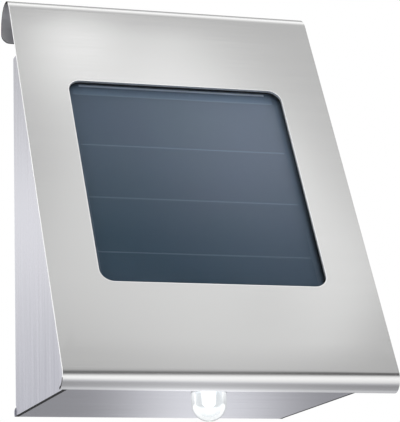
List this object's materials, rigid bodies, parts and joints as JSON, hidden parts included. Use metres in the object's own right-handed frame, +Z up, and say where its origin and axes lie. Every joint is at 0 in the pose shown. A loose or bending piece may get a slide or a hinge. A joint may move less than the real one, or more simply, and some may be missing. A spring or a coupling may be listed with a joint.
{
  "type": "solar wall spotlight",
  "caption": "Wedge-shaped stainless steel solar spotlight for a wall; its hooked front cover holds a solar panel and swings up, and a clear domed lens shines down from the underside.",
  "frame": {"origin": "midway between the two wall screw holes, on the wall plane", "axes": "+X along the wall to the right as the lamp is faced, +Y into the wall, +Z up"},
  "size_m": [0.125, 0.1125, 0.1754],
  "materials": {
    "stainless_cover": "fine brushed, satin",
    "stainless_housing": "brushed, satin",
    "panel_glass": "polished",
    "silicon_cell": "smooth, dark slate blue",
    "backsheet": "matt, dark blue",
    "black_rubber": "matt",
    "clear_acrylic": "polished",
    "black_plastic": "moulded, fine grain",
    "zinc_steel": "zinc plated",
    "reflector_film": "bright, vacuum plated",
    "led_board_white": "white solder mask",
    "led_phosphor": "milky white epoxy",
    "circuit_board": "solder mask",
    "component_black": "moulded",
    "battery_wrap": "shrink wrap",
    "nickel_contact": "nickel plated",
    "switch_white": "moulded"
  },
  "bodies": {
    "housing": {"housing_shell": "stainless_housing", "bottom_plate": "stainless_housing", "lens": "clear_acrylic", "lens_seal": "black_rubber", "lamp_holder": "black_plastic", "lamp_studs": "zinc_steel", "lamp_nuts": "zinc_steel", "reflector": "reflector_film", "led_board": "led_board_white", "led_emitter": "led_phosphor", "lamp_cap": "black_plastic", "electronics_case": "black_plastic", "case_studs": "zinc_steel", "case_nuts": "zinc_steel", "case_grommets": "black_rubber", "case_seal": "black_rubber", "case_lid": "black_plastic", "case_screws": "zinc_steel", "battery_holder": "black_plastic", "battery_cells": "battery_wrap", "battery_contacts": "nickel_contact", "control_board": "circuit_board", "board_screws": "zinc_steel", "board_components": "component_black", "switch_body": "component_black"},
    "cover": {"front_cover": "stainless_cover", "panel_gasket": "black_rubber", "panel_glass": "panel_glass", "solar_cells": "silicon_cell", "panel_backsheet": "backsheet", "junction_cap": "black_plastic", "clamp_top": "zinc_steel", "clamp_bottom": "zinc_steel", "weld_studs": "zinc_steel", "clamp_nuts": "zinc_steel"},
    "switch": {"switch_knob": "switch_white"}
  },
  "joints": [
    {"name": "cover_swing", "type": "hinge", "parent": "housing", "child": "cover", "pos_m": [0, -0.0198, 0.03389], "axis": [-1, 0, 0], "range_deg": [0, 40]},
    {"name": "switch_slide", "type": "slide", "parent": "housing", "child": "switch", "axis": [1, 0, 0], "range_m": [0, 0.003]}
  ]
}
